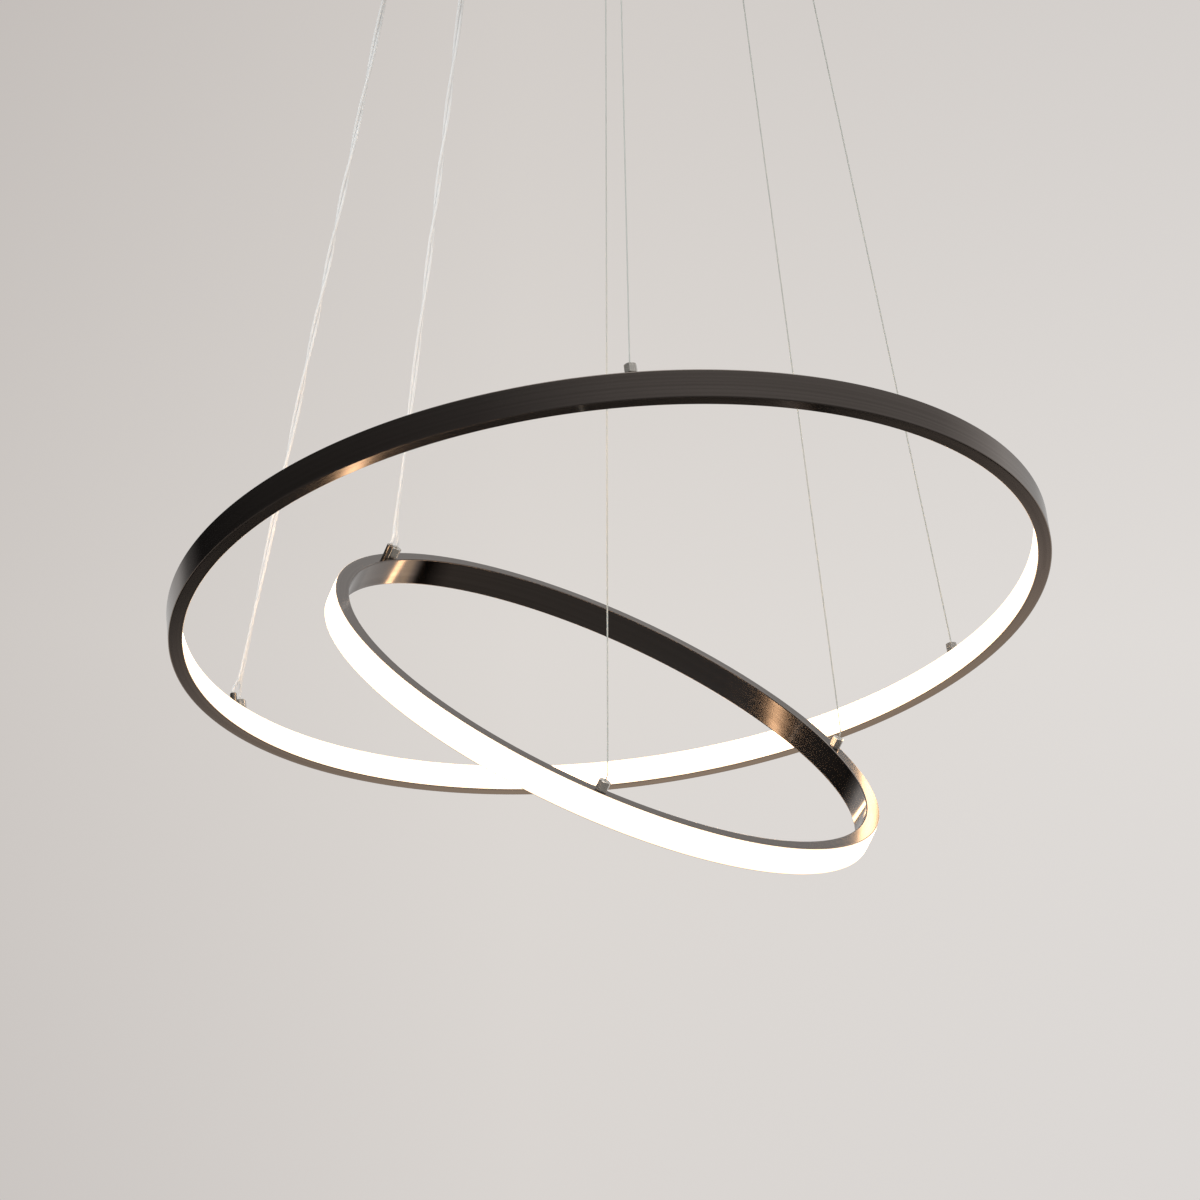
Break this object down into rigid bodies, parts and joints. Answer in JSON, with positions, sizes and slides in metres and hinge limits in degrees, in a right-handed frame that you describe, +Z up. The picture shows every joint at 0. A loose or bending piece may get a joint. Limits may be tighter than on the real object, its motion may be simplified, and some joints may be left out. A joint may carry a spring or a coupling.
{
  "type": "led ring chandelier",
  "caption": "Tilted LED rings of bent metal channel, one hung inside the other on steel wires and clear flex from a round ceiling canopy with sprung wire grippers.",
  "frame": {"origin": "centre of the canopy's open top, on the ceiling's surface", "axes": "+Z up, out of the ceiling bracket's flat face; +X to the viewer's right; +Y away from the viewer, who faces the side where both front wires hang"},
  "size_m": [0.5984, 0.5788, 0.8046],
  "materials": {
    "dark_titanium": "brushed, dark titanium anodised",
    "canopy_titanium": "brushed, dark titanium",
    "lit_opal": "opal, glowing warm white when lit",
    "led_tape": "white tape with warm white chips",
    "polished_nickel": "dark polished nickel",
    "nickel_brass": "nickelled brass",
    "steel_wire": "stranded steel wire",
    "spring_steel": "spring steel",
    "clear_flex": "clear insulation over tinned strands",
    "driver_case": "white moulded case",
    "zinc_steel": "zinc plated",
    "gland_nylon": "black moulded",
    "block_nylon": "natural moulded",
    "seal_rubber": "soft black",
    "lead_insulation": "insulated lead"
  },
  "bodies": {
    "canopy": {"canopy_shell": "canopy_titanium", "canopy_side_screws": "polished_nickel", "ceiling_bracket": "zinc_steel", "wire_gripper_bodies": "polished_nickel", "canopy_lock_nuts": "nickel_brass", "cord_gland_bodies": "gland_nylon", "cord_gland_seals": "seal_rubber", "cord_gland_caps": "gland_nylon", "large_ring_driver": "driver_case", "small_ring_driver": "driver_case", "cord_terminal_block": "block_nylon", "mains_terminal_block": "block_nylon", "driver_and_block_screws": "zinc_steel", "cord_leads": "lead_insulation", "mains_leads": "lead_insulation", "large_front_gripper_spring": "spring_steel", "large_right_gripper_spring": "spring_steel", "small_front_gripper_spring": "spring_steel", "small_right_gripper_spring": "spring_steel", "large_wire_front": "steel_wire", "large_wire_right": "steel_wire", "small_wire_front": "steel_wire", "small_wire_right": "steel_wire", "large_cord": "clear_flex", "small_cord": "clear_flex"},
    "large_ring": {"large_ring_channel": "dark_titanium", "large_ring_diffuser": "lit_opal", "large_ring_led_tape": "led_tape", "large_ring_bushes": "nickel_brass", "large_ring_hex_nuts": "polished_nickel", "large_ring_cord_barrel": "polished_nickel", "large_ring_wire_stops": "steel_wire", "large_ring_core_ferrules": "nickel_brass"},
    "small_ring": {"small_ring_channel": "dark_titanium", "small_ring_diffuser": "lit_opal", "small_ring_led_tape": "led_tape", "small_ring_bushes": "nickel_brass", "small_ring_hex_nuts": "polished_nickel", "small_ring_cord_barrel": "polished_nickel", "small_ring_wire_stops": "steel_wire", "small_ring_core_ferrules": "nickel_brass"},
    "large_front_release": {"large_front_gripper_release": "polished_nickel"},
    "large_right_release": {"large_right_gripper_release": "polished_nickel"},
    "small_front_release": {"small_front_gripper_release": "polished_nickel"},
    "small_right_release": {"small_right_gripper_release": "polished_nickel"}
  },
  "joints": [
    {"name": "large_ring_tilt", "type": "hinge", "parent": "canopy", "child": "large_ring", "pos_m": [-0.00558, 0.14561, -0.63948], "axis": [-0.9931, -0.0748, -0.0902], "range_deg": [-5, 15], "deforming": ["large_wire_front", "large_wire_right", "large_cord"]},
    {"name": "small_ring_tilt", "type": "hinge", "parent": "canopy", "child": "small_ring", "pos_m": [0.00844, 0.08149, -0.62751], "axis": [-0.915, -0.1439, 0.377], "range_deg": [-8, 15], "deforming": ["small_wire_front", "small_wire_right", "small_cord"]},
    {"name": "large_front_release_press", "type": "slide", "parent": "canopy", "child": "large_front_release", "axis": [0, 0, 1], "range_m": [0, 0.0025], "stiffness_N_per_m": 800, "springref_m": -0.002, "deforming": ["large_front_gripper_spring"]},
    {"name": "large_right_release_press", "type": "slide", "parent": "canopy", "child": "large_right_release", "axis": [0, 0, 1], "range_m": [0, 0.0025], "stiffness_N_per_m": 800, "springref_m": -0.002, "deforming": ["large_right_gripper_spring"]},
    {"name": "small_front_release_press", "type": "slide", "parent": "canopy", "child": "small_front_release", "axis": [0, 0, 1], "range_m": [0, 0.0025], "stiffness_N_per_m": 800, "springref_m": -0.002, "deforming": ["small_front_gripper_spring"]},
    {"name": "small_right_release_press", "type": "slide", "parent": "canopy", "child": "small_right_release", "axis": [0, 0, 1], "range_m": [0, 0.0025], "stiffness_N_per_m": 800, "springref_m": -0.002, "deforming": ["small_right_gripper_spring"]}
  ]
}
